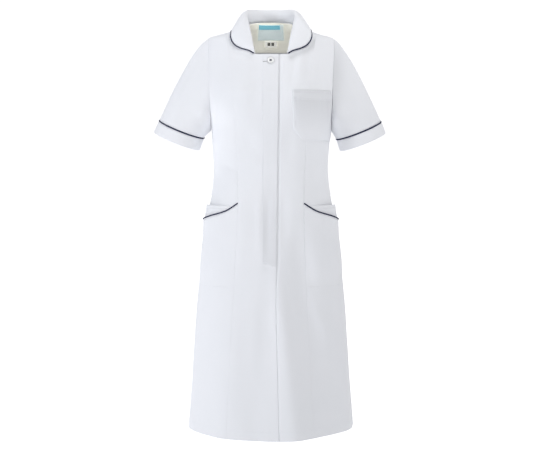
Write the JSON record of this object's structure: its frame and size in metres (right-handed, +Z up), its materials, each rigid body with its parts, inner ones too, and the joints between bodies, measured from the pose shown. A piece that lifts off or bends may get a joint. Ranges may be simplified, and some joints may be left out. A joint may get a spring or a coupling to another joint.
{
  "type": "nurse_uniform_dress",
  "caption": "White short-sleeved nurse uniform dress with princess seams, turned-down collar and navy piping, filled out as worn",
  "frame": {"origin": "the middle of the shoulder line, level with the side of the neck, halfway between front and back; where the dress is held", "axes": "+X to the wearer's left (right in the picture), +Y to the back, +Z up along the length of the dress"},
  "size_m": [0.588, 0.3385, 1.0679],
  "materials": {
    "white_twill": "woven polyester and cotton twill, matt",
    "navy_piping": "woven bias strip over a cord, matt",
    "cream_facing": "plain woven cloth, matt",
    "aqua_label": "woven satin label, slight sheen",
    "button_white": "moulded polyester resin, semi-gloss"
  },
  "bodies": {
    "root": {"front_centre_right": "white_twill", "front_side_right": "white_twill", "front_centre_left": "white_twill", "front_side_left": "white_twill", "back_centre": "white_twill", "back_side_right": "white_twill", "back_side_left": "white_twill", "sleeve_right": "white_twill", "sleeve_left": "white_twill", "cuff_right": "white_twill", "cuff_left": "white_twill", "collar": "white_twill", "chest_pocket": "white_twill", "pocket_back_right": "white_twill", "pocket_back_left": "white_twill", "pocket_front_right": "white_twill", "pocket_front_left": "white_twill", "collar_piping": "navy_piping", "cuff_piping_right": "navy_piping", "cuff_piping_left": "navy_piping", "pocket_piping_right": "navy_piping", "pocket_piping_left": "navy_piping", "back_facing": "cream_facing", "size_label": "cream_facing", "neck_label": "aqua_label", "top_button": "button_white"}
  },
  "joints": []
}
